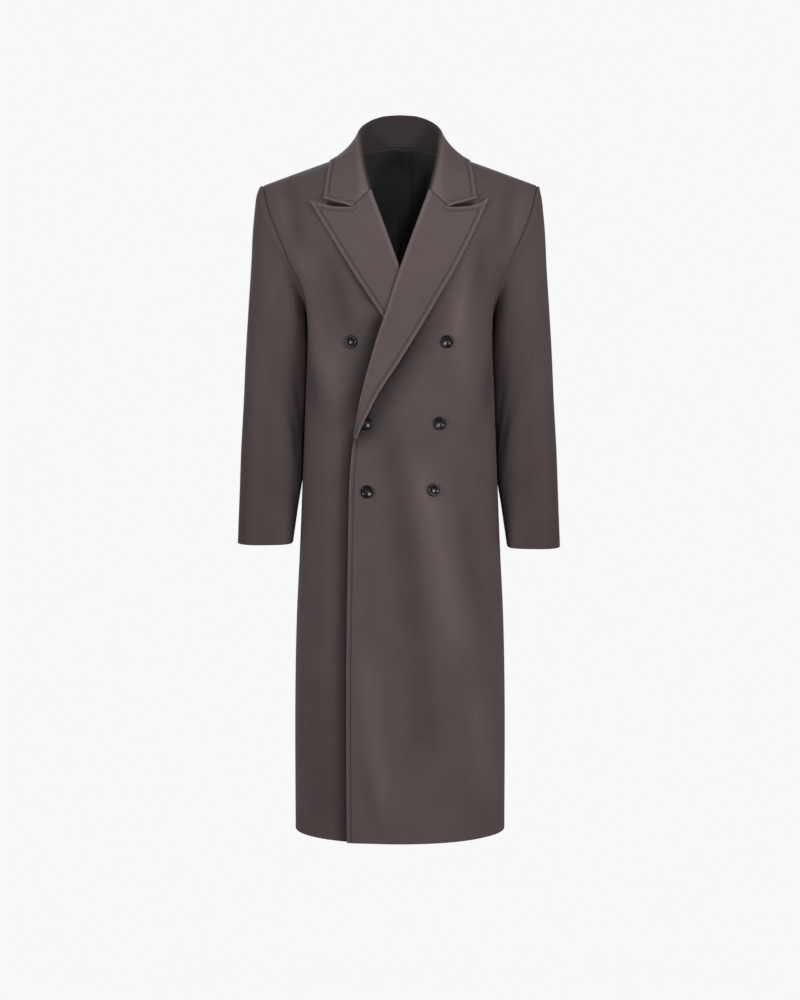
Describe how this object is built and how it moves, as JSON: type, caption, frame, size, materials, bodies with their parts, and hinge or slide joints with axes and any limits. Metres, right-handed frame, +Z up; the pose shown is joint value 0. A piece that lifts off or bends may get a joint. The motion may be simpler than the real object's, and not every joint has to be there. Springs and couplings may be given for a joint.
{
  "type": "maxi coat",
  "caption": "Long double-breasted wool coat with peaked lapels, a standing fold-over collar, padded straight shoulders and a lined body, hollow as worn.",
  "frame": {"origin": "midway between the two points where the shoulder seams reach the neck, where the coat rests on its wearer", "axes": "+X towards the wearer's left, -Y out of the coat's front, +Z up"},
  "size_m": [0.58, 0.3163, 1.291],
  "materials": {
    "melton": "matte",
    "lining": "satin",
    "button": "semi-gloss"
  },
  "bodies": {
    "root": {"front_right": "melton", "front_left": "melton", "back": "melton", "lapel_right": "melton", "lapel_left": "melton", "collar": "melton", "sleeve_right": "melton", "sleeve_left": "melton", "lining_back": "lining", "button_right_top": "button", "button_left_top": "button", "button_right_middle": "button", "button_left_middle": "button", "button_right_bottom": "button", "button_left_bottom": "button"}
  },
  "joints": []
}
